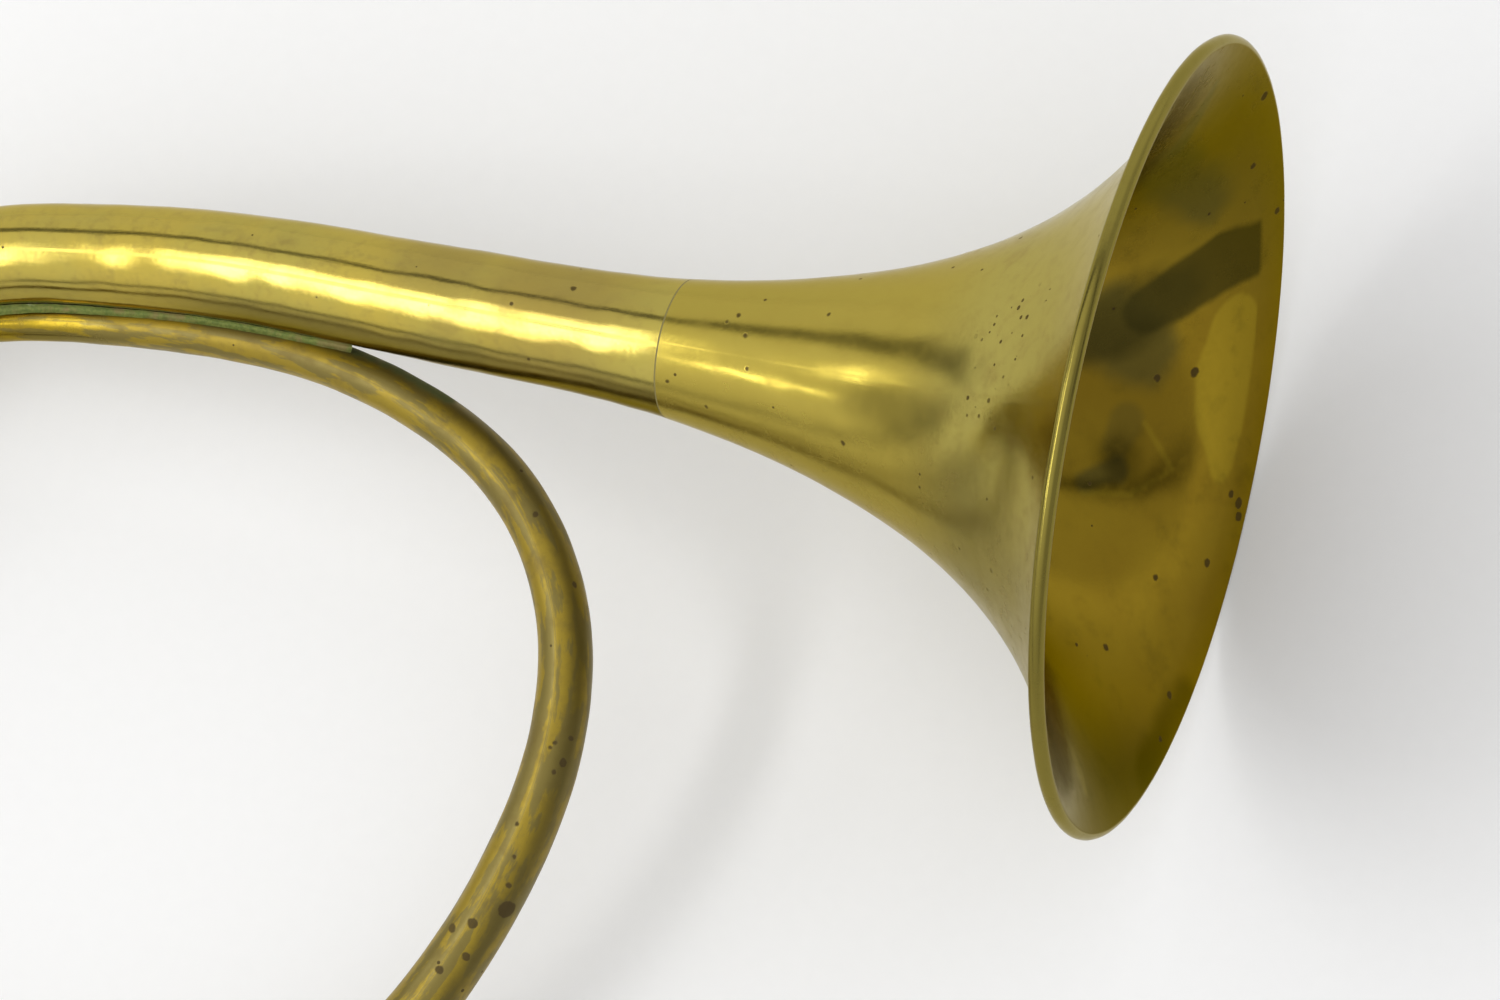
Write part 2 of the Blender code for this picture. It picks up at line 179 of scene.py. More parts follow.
def nested(x, thin):
    """Centre of the thin tube against the tail's underside at -x."""
    slope = atan(max(x - TAIL_STRAIGHT, 0.0) / TAIL_BEND_RADIUS)
    reach = bell_radius(x) + thin + GAP + NEST_SLACK
    side = reach * cos(NEST_ANGLE)
    return (-x + side * sin(slope), tail_drop(x) - side * cos(slope),
            -reach * sin(NEST_ANGLE))


def along_pipe(last, step, height):
    """A point of the mouthpipe, a step on from the last nested one."""
    x = last[0] + step * cos(PIPE_HEADING)
    return x, last[1] + step * sin(PIPE_HEADING), height


def route_stations():
    """Points of the centre line, from the mouth to the pipe's end."""
    points = [(-x, 0.0, 0.0) for x in np.linspace(0.0, TAIL_STRAIGHT, STRAIGHT_STATIONS)]
    points += [(-x, tail_drop(x), 0.0) for x in BEND_STATIONS]
    for clock, reach, height in COIL_STATIONS:
        turn = radians(clock)
        x, y = COIL_CENTRE[0] + reach * cos(turn), COIL_CENTRE[1] + reach * sin(turn)
        points.append((x, y, height))
    points += [nested(x, thin) for x, thin in NEST_STATIONS]
    last = points[-1]
    points.append(along_pipe(last, PIPE_FIRST_STEP, (last[2] + PIPE_BEHIND) / 2))
    for step in PIPE_STEPS:
        rise = PIPE_RISE * max(step - PIPE_LEVEL, 0.0)
        points.append(along_pipe(last, step, PIPE_BEHIND + rise))
    return np.array(points)


class Route:
    """A natural cubic spline, with frames that don't twist."""

    def __init__(self, points):
        self.points = points
        steps = np.linalg.norm(np.diff(points, axis=0), axis=1)
        self.knots = np.concatenate(([0.0], np.cumsum(steps)))
        count = len(points)
        system = np.eye(count)
        right = np.zeros_like(points)
        for i in range(1, count - 1):
            system[i, i - 1:i + 2] = steps[i - 1], 2 * (steps[i - 1] + steps[i]), steps[i]
            right[i] = 6 * ((points[i + 1] - points[i]) / steps[i]
                            - (points[i] - points[i - 1]) / steps[i - 1])
        self.bend = np.linalg.solve(system, right)

    def point(self, along):
        i = int(np.clip(np.searchsorted(self.knots, along) - 1, 0, len(self.points) - 2))
        step = self.knots[i + 1] - self.knots[i]
        a = (self.knots[i + 1] - along) / step
        b = 1 - a
        curve = (a ** 3 - a) * self.bend[i] + (b ** 3 - b) * self.bend[i + 1]
        return Vector(a * self.points[i] + b * self.points[i + 1] + curve * step ** 2 / 6)

    def heading(self, along):
        ahead = self.point(along + HEADING_STEP) - self.point(along - HEADING_STEP)
        return ahead.normalized()

    def frames(self, places):
        """Centre, and two directions across the tube, at each place along it."""
        across = UP
        found = []
        for along in places:
            ahead = self.heading(along)
            across = (across - ahead * across.dot(ahead)).normalized()
            found.append((self.point(along), across.copy(), ahead.cross(across)))
        return found


ROUTE = Route(route_stations())


def spaced(start, end, step):
    """Evenly spaced places, about step apart."""
    return list(np.linspace(start, end, max(2, round((end - start) / step) + 1)))


def nearest(point, start, end):
    """Place between start and end where the route is nearest to a point."""
    places = np.arange(start, end, SEARCH_STEP)
    return min(places, key=lambda along: (ROUTE.point(along) - point).length)


def off_coil(point):
    """Level unit vector from the coil's centre towards a point."""
    return Vector((point.x - COIL_CENTRE[0], point.y - COIL_CENTRE[1], 0.0)).normalized()


# --- mesh builders

def ripple(point, amount=1.0):
    """Height of the hand-worked surface over the true one."""
    fine = noise.noise(point / RIPPLE_LENGTH)
    broad = noise.noise(point / SWELL_LENGTH + SWELL_SHIFT)
    return amount * (RIPPLE_HEIGHT * fine + SWELL_HEIGHT * broad - RIPPLE_SINK)


def groove():
    """Points that verdigris starts from: the groove, and the thin tube past it."""
    line = []
    for along in np.arange(FILLET_START - GROOVE_STEP, FILLET_END, GROOVE_STEP):
        middle = ROUTE.point(along)
        towards = (ROUTE.point(nearest(middle, *NESTED_STRETCH)) - middle).normalized()
        line.append(middle + towards * outside(along) + GROOVE_LIFT)
    for along in np.arange(*STAINED_COIL, COIL_STAIN_STEP):
        middle = ROUTE.point(along)
        reach = outside(along) - COIL_STAIN_INSET
        line.append(middle + off_coil(middle) * reach + COIL_STAIN_LIFT)
    return np.array([tuple(point) for point in line], np.float32)


GROOVE = groove()


def stain(points):
    """Share of verdigris at each point."""
    away = np.full(len(points), np.inf, np.float32)
    for spot in GROOVE:
        away = np.minimum(away, ((points - spot) ** 2).sum(1))
    return np.exp(-np.maximum(np.sqrt(away) - STAIN_FULL, 0.0) / STAIN_REACH)


def keep(mesh, name, values):
    """Keep a number or a vector at each point of a mesh."""
    values = np.array(values, np.float32)
    kind, field = ("FLOAT", "value") if values.ndim == 1 else ("FLOAT_VECTOR", "vector")
    mesh.attributes.new(name, kind, "POINT").data.foreach_set(field, values.ravel())


def make_piece(name, rows, material, body, node, loop=True, tube=None, outer=None):
    """A closed skin through rows of points, looped round or capped.

    Of each point of a tube, tube holds (along, around, inside or not), and outer how far it
    faces away from the coil's centre.
    """
    sides = len(rows[0])
    count = len(rows)
    faces = []
    for i in range(count if loop else count - 1):
        following = (i + 1) % count
        for k in range(sides):
            beside = (k + 1) % sides
            faces.append((i * sides + k, i * sides + beside,
                          following * sides + beside, following * sides + k))
    if not loop:
        faces.append(tuple(range(sides))[::-1])
        faces.append(tuple((count - 1) * sides + k for k in range(sides)))
    points = [point for row in rows for point in row]
    mesh = bpy.data.meshes.new(name)
    mesh.from_pydata([tuple(HORN @ (point * MM)) for point in points], [], faces)
    places = np.array([tuple(point) for point in points], np.float32)
    keep(mesh, "horn", places)
    keep(mesh, "stain", stain(places))
    if tube is not None:
        keep(mesh, "tube", tube)
    if outer is not None:
        keep(mesh, "outer", outer)
    face_out(mesh)
    mesh.shade_smooth()
    mesh.set_sharp_from_angle(angle=SHARP_ANGLE)
    mesh.materials.append(material)
    made = new_object(name, mesh)
    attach(made, body)
    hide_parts(node)
    return made


def new_object(name, content):
    made = bpy.data.objects.new(name, content)
    bpy.context.scene.collection.objects.link(made)
    return made


def face_out(mesh):
    """Turn the faces of a closed mesh outwards."""
    mesh.calc_loop_triangles()
    count = len(mesh.loop_triangles)
    corners = np.zeros(count * 3, np.int32)
    mesh.loop_triangles.foreach_get("vertices", corners)
    points = np.zeros(len(mesh.vertices) * 3)
    mesh.vertices.foreach_get("co", points)
    a, b, c = points.reshape(-1, 3)[corners.reshape(-1, 3)].transpose(1, 0, 2)
    if np.einsum("ij,ij->i", a, np.cross(b, c)).sum() < 0:
        mesh.flip_normals()


def circle(centre, across, beside, radius, sides):
    """Points round a centre, in a plane."""
    turns = (2 * pi * k / sides for k in range(sides))
    return [centre + (across * cos(t) + beside * sin(t)) * radius for t in turns]


def sweep(name, outline, sides, material, node, amount=1.0, lumps=None):
    """Sweep a closed outline of (place, radius) along the route.

    amount scales the ripples; lumps(point) adds a height.
    """
    places = sorted({round(float(along), 4) for along, _ in outline})
    frames = dict(zip(places, ROUTE.frames(places)))
    rows, tube, outer = [], [], []
    for along, radius in outline:
        centre, across, beside = frames[round(float(along), 4)]
        outward = off_coil(centre)
        row = []
        for k in range(sides):
            turn = 2 * pi * k / sides
            way = across * cos(turn) + beside * sin(turn)
            point = centre + way * radius
            height = ripple(centre + way * outside(along), amount)
            if lumps:
                height += lumps(point)
            row.append(point + way * height)
            tube.append((along, radius * turn, float(radius < outside(along) - SHEET / 2)))
            outer.append(way.dot(outward))
        rows.append(row)
    return make_piece(name, rows, material, "horn", node, tube=tube, outer=outer)


def turn_piece(name, outline, start, ahead, sides, material, node,
               body="horn", amount=0.0, inner=None):
    """Turn a closed outline of (place, radius) about an axis; from point inner on, the skin
    is the inside.
    """
    across = (UP - ahead * UP.dot(ahead)).normalized()
    beside = ahead.cross(across)
    rows, tube = [], []
    for index, (along, radius) in enumerate(outline):
        axis = start + ahead * along
        row = circle(axis, across, beside, radius, sides)
        if amount:
            row = [p + (p - axis).normalized() * ripple(p, amount) for p in row]
        rows.append(row)
        inside = 1.0 if inner and index >= inner else 0.0
        tube += [(along, radius * 2 * pi * k / sides, inside) for k in range(sides)]
    return make_piece(name, rows, material, body, node, tube=tube)


def rounded(outline, step=0.5, passes=3):
    """A turned part's profile with eased corners."""
    fine = []
    for (x0, r0), (x1, r1) in zip(outline, outline[1:]):
        count = max(1, round(hypot(x1 - x0, r1 - r0) / step))
        fine += [(x0 + (x1 - x0) * k / count, r0 + (r1 - r0) * k / count) for k in range(count)]
    fine.append(outline[-1])
    for _ in range(passes):
        eased = [((a[0] + 2 * b[0] + c[0]) / 4, (a[1] + 2 * b[1] + c[1]) / 4)
                 for a, b, c in zip(fine, fine[1:], fine[2:])]
        fine = [fine[0], *eased, fine[-1]]
    return fine


# --- shader helpers

# A mix node's sockets for colours; their names are not its own.
MIX_FACTOR, MIX_A, MIX_B, MIX_RESULT = 0, 6, 7, 2


def add_node(tree, kind, inputs=None, **settings):
    """A ShaderNode of some kind; its inputs are values or other sockets."""
    made = tree.nodes.new("ShaderNode" + kind)
    for name, value in settings.items():
        setattr(made, name, value)
    for name, value in (inputs or {}).items():
        socket = made.inputs[name]
        if isinstance(value, bpy.types.NodeSocket):
            tree.links.new(value, socket)
        else:
            socket.default_value = value
    return made


def math_of(tree, operation, a, b=0.0):
    return add_node(tree, "Math", {0: a, 1: b}, operation=operation).outputs[0]


def times(tree, a, b):
    return math_of(tree, "MULTIPLY", a, b)


def less(tree, a, b):
    return math_of(tree, "SUBTRACT", a, b)


def total(tree, first, *others):
    for other in others:
        first = math_of(tree, "ADD", first, other)
    return first


def vector_of(tree, operation, a, b):
    made = add_node(tree, "VectorMath", {0: a, 1: b}, operation=operation)
    return made.outputs["Value" if operation in ("DISTANCE", "DOT_PRODUCT") else "Vector"]


def scaled(tree, coords, factors):
    return vector_of(tree, "MULTIPLY", coords, factors)


def ramp(tree, value, low, high, first=0.0, last=1.0):
    """Value eased from low..high to first..last."""
    names = {"Value": value, "From Min": low, "From Max": high, "To Min": first, "To Max": last}
    made = add_node(tree, "MapRange", names, interpolation_type="SMOOTHSTEP")
    return made.outputs[0]


def mix(tree, factor, a, b):
    """Colour a turning into colour b."""
    names = {MIX_FACTOR: factor, MIX_A: a, MIX_B: b}
    return add_node(tree, "Mix", names, data_type="RGBA").outputs[MIX_RESULT]


def attribute(tree, name, output="Vector"):
    """A value kept at the mesh's points."""
    return add_node(tree, "Attribute", attribute_name=name).outputs[output]


def parts_of(tree, vector):
    return add_node(tree, "SeparateXYZ", {"Vector": vector}).outputs


def noise_of(tree, coords, size, detail=4.0, roughness=0.55):
    """Noise with features about size long."""
    names = {"Vector": coords, "Scale": 1.0 / size, "Detail": detail, "Roughness": roughness}
    return add_node(tree, "TexNoise", names).outputs[0]


def warped(tree, place, size, amount, detail=3.0):
    """The place pushed about by noise, for uneven outlines."""
    names = {"Vector": place, "Scale": 1.0 / size, "Detail": detail}
    push = add_node(tree, "TexNoise", names).outputs["Color"]
    push = vector_of(tree, "SUBTRACT", push, (0.5, 0.5, 0.5))
    return vector_of(tree, "ADD", place, scaled(tree, push, (amount, amount, amount)))


def pits(tree, coords, cell, share, size):
    """Small round marks, in some cells of a random pattern."""
    cells = add_node(tree, "TexVoronoi", {"Vector": coords, "Scale": 1.0 / cell})
    chosen = add_node(tree, "SeparateColor", {"Color": cells.outputs["Color"]})
    limit = times(tree, chosen.outputs[1], size / cell)
    depth = less(tree, limit, cells.outputs["Distance"])
    mark = ramp(tree, depth, 0.0, 0.12 * size / cell)
    used = math_of(tree, "LESS_THAN", chosen.outputs[0], share)
    return times(tree, mark, used)


def nearness(tree, place, spots):
    """How far a place lies outside the nearest spot.

    Spots are round (point, radius) or long (start, end, first radius, last radius).
    """
    found = None
    for start, *rest in spots:
        closest, radius = tuple(start), rest[-1]
        if len(rest) > 1:
            end, first, last = rest
            span = end - start
            way = vector_of(tree, "SUBTRACT", place, closest)
            share = vector_of(tree, "DOT_PRODUCT", way, tuple(span / span.length_squared))
            share = add_node(tree, "Clamp", {"Value": share}).outputs[0]
            along = add_node(tree, "VectorMath", {0: tuple(span), "Scale": share},
                             operation="SCALE").outputs["Vector"]
            closest = vector_of(tree, "ADD", along, closest)
            radius = total(tree, times(tree, share, last - first), first)
        away = less(tree, vector_of(tree, "DISTANCE", place, closest), radius)
        found = away if found is None else math_of(tree, "MINIMUM", found, away)
    return found


def rgb(red, green, blue):
    return red, green, blue, 1.0


def new_tree(name):
    made = bpy.data.materials.new(name)
    made.use_nodes = True
    made.node_tree.nodes.clear()
    return made, made.node_tree


def surface(tree, shader, kind="OutputMaterial"):
    add_node(tree, kind, {"Surface": shader.outputs[0]})


# --- colours

GOLD = rgb(0.50, 0.40, 0.085)
OLIVE = rgb(0.40, 0.345, 0.09)
BROWN = rgb(0.30, 0.225, 0.06)
# Painted shade: the horn's underside and a coil tube's side off the coil are darkened towards
# these.
UNDER_PAINTED_SHADE = rgb(0.150, 0.118, 0.034)
COIL_PAINTED_SHADE = rgb(0.095, 0.070, 0.012)
PIT = rgb(0.075, 0.050, 0.018)
STAIN = rgb(0.105, 0.120, 0.038)
EDGE_TINT = rgb(0.86, 0.80, 0.60)
BEAD_BROWN = rgb(0.175, 0.14, 0.024)
THROAT = rgb(0.39, 0.30, 0.048)

INNER_GOLD = rgb(0.27, 0.18, 0.014)
INNER_DEEP_GOLD = rgb(0.235, 0.150, 0.012)
INNER_DARK = rgb(0.043, 0.035, 0.007)
INNER_GREEN = rgb(0.080, 0.072, 0.020)
# Painted shade inside the bell, towards its top and towards its bottom.
INNER_TOP_PAINTED_SHADE = rgb(0.085, 0.066, 0.015)
INNER_BOTTOM_PAINTED_SHADE = rgb(0.065, 0.050, 0.018)
INNER_BRIGHT = rgb(0.40, 0.29, 0.022)
INNER_PALE = rgb(0.20, 0.16, 0.040)
INNER_TINT = rgb(0.72, 0.65, 0.42)

SOLDER_GREY = rgb(0.20, 0.165, 0.055)
SOLDER_WORN = rgb(0.27, 0.225, 0.085)
VERDIGRIS = rgb(0.098, 0.141, 0.029)
VERDIGRIS_LIGHT = rgb(0.225, 0.26, 0.065)
VERDIGRIS_PALE = rgb(0.42, 0.46, 0.24)

# Sizes of the brass's patterns; the stretched ones run along the tube.
CLOUD_SIZE = 42.0
MOTTLE_SIZE = 9.0
FLECK_SIZE = 2.6
GRAIN_SIZE = 0.9
LINE_STRETCH = (0.035, 1.6, 1.0)
PATCH_STRETCH = (0.055, 0.24, 1.0)
PIT_CELL, PIT_SIZE = 2.6, 0.50
DENSE_CELL, DENSE_SHARE, DENSE_SIZE = 1.7, 0.55, 0.60

BUMP_HEIGHT = 0.00012  # in metres


# --- marks of age, a painted reflection, and painted shade

def on_bell(clock, depth, inside):
    """Point of the bell's skin; clock angles run from +Y towards +Z."""
    reach = bell_radius(depth) - (SHEET if inside else 0.0)
    turn = radians(clock)
    return Vector((-depth, reach * cos(turn), reach * sin(turn)))


def on_coil(along, lean):
    """Point of the coil's skin at an angle outwards from its top."""
    middle = ROUTE.point(along)
    turn = radians(lean)
    way = off_coil(middle) * sin(turn) + Vector((0.0, 0.0, cos(turn)))
    return middle + way * outside(along)


def inside_path(*places):
    """A path inside the bell, through places of clock angle, depth and radius."""
    points = [(on_bell(clock, depth, True), radius) for clock, depth, radius in places]
    return [(start, end, first, last) for (start, first), (end, last) in zip(points, points[1:])]


# Spots on the bell: clock angle, depth and radius.
INSIDE_MARKS = (
    (-74, 18, 1.0), (-73, 12, 1.2), (-32, 4, 0.9), (-18, 1, 1.2), (-46, 1, 0.9), (-95, 3, 1.0),
    (-96, 1.5, 1.3), (-98, 1, 1.1), (-108, 4, 1.0), (-117, 11, 0.8), (-141, 14, 0.9),
    (-149, 18, 0.6), (-134, 3, 1.0), (-142, 1.5, 0.8),
)
OUTSIDE_MARKS = (
    (61, 90, 0.55), (67, 92, 0.45), (75, 87, 0.55), (96, 85, 0.5), (132, 94, 0.45),
    (122, 61, 0.55), (58, 70, 0.5), (119, 103, 0.5),
)
BELL_MARKS = [(on_bell(clock, depth, True), size) for clock, depth, size in INSIDE_MARKS]
BELL_MARKS += [(on_bell(clock, depth, False), size) for clock, depth, size in OUTSIDE_MARKS]
PIT_CLUSTERS = (
    (on_bell(73, 25, False), 9.0), (on_bell(88, 30, False), 6.0), (on_bell(136, 22, False), 3.0),
)
# Spots on the coil: place along the route, lean and radius.
COIL_MARKS = tuple((on_coil(along, lean), size) for along, lean, size in (
    (701, 54, 2.0), (696, 8, 1.2), (693, -25, 1.0), (689, 30, 1.0), (684, 3, 1.0),
    (733, 46, 0.9), (731, 32, 0.6), (738, 50, 0.6), (737, 20, 0.6), (736, 12, 0.45),
    (769, 59, 0.7), (785, 30, 0.7), (712, 18, 0.6), (706, 34, 0.7), (719, -4, 0.5),
))
TAIL_MARKS = ((Vector((-128.3, 8.0, 10.7)), 0.7),)
WORN_TAIL = ((Vector((-132.0, 7.0, 8.0)), 20.0), (Vector((-158.0, 9.0, 6.0)), 14.0))

# Stains and a painted reflection inside the bell: colour, strength, softness of the edge, and
# paths.
INSIDE_STAINS_AND_REFLECTIONS = (
    (INNER_BRIGHT, 0.42, 1.4, inside_path(
        (-65, 6.5, 7.5), (-73, 6.8, 9.5), (-82, 6.3, 8.5), (-91, 5.5, 4))),
    (INNER_GREEN, 0.65, 5.0, inside_path((-56, 27, 9), (-68, 20, 9)) + inside_path(
        (-4, 15, 9), (-30, 11, 9))),
    # Painted reflection: a dark leaf, in a soft path and a sharper one down to the rim.
    (INNER_DARK, 0.65, 5.0, inside_path((-59, 30, 9), (-55, 20, 9), (-53, 15, 8))),
    (INNER_DARK, 0.80, 1.8, inside_path(
        (-55, 20, 7), (-52, 14, 8), (-50, 9, 8.5), (-51, 4, 7.5))),
    (INNER_GREEN, 0.60, 1.2, inside_path((-5, 12, 3.0), (2, 7, 2.6), (6, 4, 1.6))),
    (INNER_GREEN, 0.65, 1.8, inside_path((-98, 22, 3.6), (-104, 27, 2.4))),
    (INNER_GREEN, 0.35, 2.0, inside_path((-86, 22, 5), (-92, 23, 4))),
    (INNER_BRIGHT, 0.30, 0.9, inside_path(
        (-85, 19, 1), (-94, 13, 1), (-103, 19, 1), (-107, 27, 1))),
    (INNER_PALE, 0.55, 1.2, inside_path((180, 9.5, 1.6), (180, 6, 2.8), (180, 4, 2))),
    (INNER_DARK, 0.50, 5.0, inside_path((-150, 1, 6), (-131, 1, 6))),
    (INNER_DARK, 0.45, 0.5, inside_path(
        (-47, 3.2, 0.5), (-58, 2.9, 0.5), (-70, 2.8, 0.5), (-84, 2.6, 0.5))),
)
# Softer edges than the first are blurred, and than the second uneven.
BLURRED_EDGE = 2.0
UNEVEN_EDGE = 1.3

# The way that the side with painted shade faces, in the imported frame.
UNDER_WAY = HORN.to_3x3() @ Vector((0.0, -0.97, -0.24))


# --- materials

def metal(tree, colour, roughness, bump, strength=0.25, metallic=1.0, tint=EDGE_TINT):
    """The shader and its output, with a fine bump."""
    names = {"Height": bump, "Strength": strength, "Distance": BUMP_HEIGHT}
    relief = add_node(tree, "Bump", names)
    names = {"Base Color": colour, "Metallic": metallic, "Roughness": roughness,
             "Normal": relief.outputs[0], "Specular Tint": tint}
    surface(tree, add_node(tree, "BsdfPrincipled", names))


def bell_inside(tree, place, cloud, mottle):
    """The inside is deeper and more golden, with stains, a painted dark reflection, and painted
    shade towards its top and bottom.
    """
    depth, height = parts_of(tree, place)[:2]
    colour = mix(tree, ramp(tree, cloud, 0.35, 0.7), INNER_GOLD, INNER_DEEP_GOLD)
    # Painted shade: the inside darkens towards its top and towards its bottom.
    colour = mix(tree, ramp(tree, height, 20.0, 64.0, 0.0, 0.55), colour, INNER_TOP_PAINTED_SHADE)
    colour = mix(tree, ramp(tree, height, -70.0, -50.0, 0.85, 0.0), colour, INNER_BOTTOM_PAINTED_SHADE)
    off_rim = ramp(tree, depth, -3.3, -2.5, 1.0, 0.0)
    blurred = warped(tree, place, 20.0, 12.0)
    uneven = warped(tree, place, 12.0, 3.2)
    even = warped(tree, place, 20.0, 1.4, 0.0)
    for mark_colour, strength, edge, spots in INSIDE_STAINS_AND_REFLECTIONS:
        where = blurred if edge > BLURRED_EDGE else uneven if edge > UNEVEN_EDGE else even
        share = ramp(tree, nearness(tree, where, spots), -edge, edge / 3, strength, 0.0)
        if edge <= BLURRED_EDGE:
            share = times(tree, share, off_rim)
        colour = mix(tree, share, colour, mark_colour)
    return mix(tree, ramp(tree, mottle, 0.5, 0.8, 0.0, 0.3), colour, INNER_DARK)


def painted_shade_share(tree, along, cloud, mottle, under, on_tube, fades):
    """Share of painted shade on the dim side: the horn's underside, or a tube's side off the
    coil.

    under holds where it starts, where it is full, and its strength.
    """
    if on_tube:
        facing = total(tree, attribute(tree, "outer", "Fac"), times(tree, mottle, 0.3))
    else:
        normal = add_node(tree, "NewGeometry").outputs["Normal"]
        facing = vector_of(tree, "DOT_PRODUCT", normal, tuple(UNDER_WAY))
        facing = total(tree, facing, times(tree, cloud, 0.2))
    start, full, amount = under
    share = ramp(tree, facing, start + 0.1, full + 0.1, 0.0, amount)
    share = times(tree, share, ramp(tree, facing, 0.95, 1.12, 1.0, 0.25))
    if fades:
        share = times(tree, share, ramp(tree, along, *fades, 1.0, 0.3))
    return share


def dark_spots(tree, place, pitted, bell, marks):
    """Pits, dense in places on the bell, and the larger marks."""
    spots = pits(tree, place, PIT_CELL, pitted, PIT_SIZE)
    if bell:
        dense = ramp(tree, nearness(tree, place, PIT_CLUSTERS), -3.0, 4.0, 1.0, 0.0)
        dense = times(tree, pits(tree, place, DENSE_CELL, DENSE_SHARE, DENSE_SIZE), dense)
        spots = math_of(tree, "MAXIMUM", spots, dense)
    if marks:
        rim = nearness(tree, warped(tree, place, 1.6, 0.9), marks)
        spots = math_of(tree, "MAXIMUM", spots, ramp(tree, rim, -0.25, 0.15, 1.0, 0.0))
    return spots


def brass(name, light=GOLD, dull=OLIVE, dark=BROWN, gloss=0.10, satin=0.10, pitted=0.12,
          drawn=1.0, marks=(), under=(0.35, 0.92, 0.5), shade=None, worn=(), bell=False,
          tarnish=0.0, polished=(0.0, 1.0), under_tint=EDGE_TINT, under_fades=None):
    """Worn, unlacquered brass.

    gloss and satin are the clean roughness and what clouds add; drawn scales the drawing
    lines; shade is the colour of painted shade on a tube's side off the coil; tarnish dulls
    the metal except where it is polished, from one place along the route to another.
    """
    made, tree = new_tree(name)
    place, tube = attribute(tree, "horn"), attribute(tree, "tube")
    along, _, inner = parts_of(tree, tube)
    cloud = noise_of(tree, place, CLOUD_SIZE, 5.0, 0.6)
    mottle = noise_of(tree, place, MOTTLE_SIZE, 6.0, 0.62)
    fleck = noise_of(tree, place, FLECK_SIZE, 4.0, 0.6)
    grain = noise_of(tree, place, GRAIN_SIZE, 5.0, 0.7)
    lines = noise_of(tree, scaled(tree, tube, LINE_STRETCH), 1.0, 5.0, 0.65)

    if tarnish:
        patch = noise_of(tree, scaled(tree, tube, PATCH_STRETCH), 1.0, 5.0, 0.6)
        dulling = ramp(tree, patch, 0.47, 0.53)
    else:
        dulling = ramp(tree, cloud, 0.38, 0.66)
    colour = mix(tree, dulling, light, dull)
    colour = mix(tree, ramp(tree, mottle, 0.52, 0.80, 0.0, 0.75), colour, dark)
    colour = mix(tree, ramp(tree, grain, 0.55, 0.85, 0.0, 0.35), colour, dull)
    colour = mix(tree, ramp(tree, fleck, 0.45, 0.75, 0.0, 0.35), colour, dark)

    # Painted shade: the underside, and a coil tube's side off the coil, are darkened and browned,
    # with a duller edge tint.
    painted_shade = painted_shade_share(tree, along, cloud, mottle, under, shade is not None, under_fades)
    colour = mix(tree, painted_shade, colour, shade or UNDER_PAINTED_SHADE)
    tint = mix(tree, painted_shade, EDGE_TINT, under_tint)
    if worn:
        handled = ramp(tree, nearness(tree, place, worn), -14.0, 8.0, 0.75, 0.0)
        colour = mix(tree, handled, colour, BROWN)
    if bell:
        depth = parts_of(tree, place)[0]
        colour = mix(tree, ramp(tree, depth, -52.0, -28.0, 0.8, 0.0), colour, THROAT)
        colour = mix(tree, ramp(tree, depth, -4.6, -3.1, 0.0, 0.75), colour, BEAD_BROWN)
        colour = mix(tree, inner, colour, bell_inside(tree, place, cloud, mottle))
        tint = mix(tree, inner, tint, INNER_TINT)
    else:
        colour = mix(tree, inner, colour, INNER_GOLD)
    crept = total(tree, attribute(tree, "stain", "Fac"), times(tree, mottle, 0.5))
    crept = ramp(tree, crept, 0.75, 1.25)
    colour = mix(tree, crept, colour, STAIN)
    spots = dark_spots(tree, place, pitted, bell, marks)
    colour = mix(tree, times(tree, spots, 0.85), colour, PIT)

    clean = ramp(tree, along, *polished, 0.0, 1.0)
    dulled = times(tree, less(tree, 1.0, clean), tarnish)
    rough = total(
        tree,
        ramp(tree, mottle, 0.35, 0.75, gloss, gloss + satin),
        times(tree, ramp(tree, lines, 0.62, 0.72), 0.06 * drawn),
        times(tree, spots, 0.4),
        times(tree, crept, 0.35),
        ramp(tree, fleck, 0.4, 0.75, 0.0, 0.05),
        times(tree, painted_shade, 0.12),
        times(tree, dulled, 0.25),
    )
    relief = total(
        tree,
        times(tree, lines, ramp(tree, inner, 0.0, 1.0, 0.35 * drawn, 0.0)),
        times(tree, grain, ramp(tree, inner, 0.0, 1.0, 0.5, 0.15)),
    )
    relief = less(tree, relief, times(tree, spots, 1.4))
    metallic = less(tree, 1.0, dulled)
    metal(tree, colour, rough, relief, metallic=metallic, tint=tint)
    return made


def solder(name, green):
    """Old dull solder with a share of verdigris."""
    made, tree = new_tree(name)
    place = attribute(tree, "horn")
    cloud = noise_of(tree, place, 6.0, 6.0, 0.6)
    grain = noise_of(tree, place, 0.8, 6.0, 0.7)
    colour = mix(tree, ramp(tree, grain, 0.4, 0.7), SOLDER_GREY, SOLDER_WORN)
    patina = mix(tree, ramp(tree, grain, 0.35, 0.65), VERDIGRIS, VERDIGRIS_LIGHT)
    colour = mix(tree, ramp(tree, cloud, 0.62 - green, 0.80 - green), colour, patina)
    pale = ramp(tree, noise_of(tree, place, 3.2, 5.0, 0.6), 0.66, 0.74)
    colour = mix(tree, pale, colour, VERDIGRIS_PALE)
    metal(tree, colour, ramp(tree, grain, 0.3, 0.7, 0.45, 0.75), grain, 0.6, metallic=0.35)
    return made


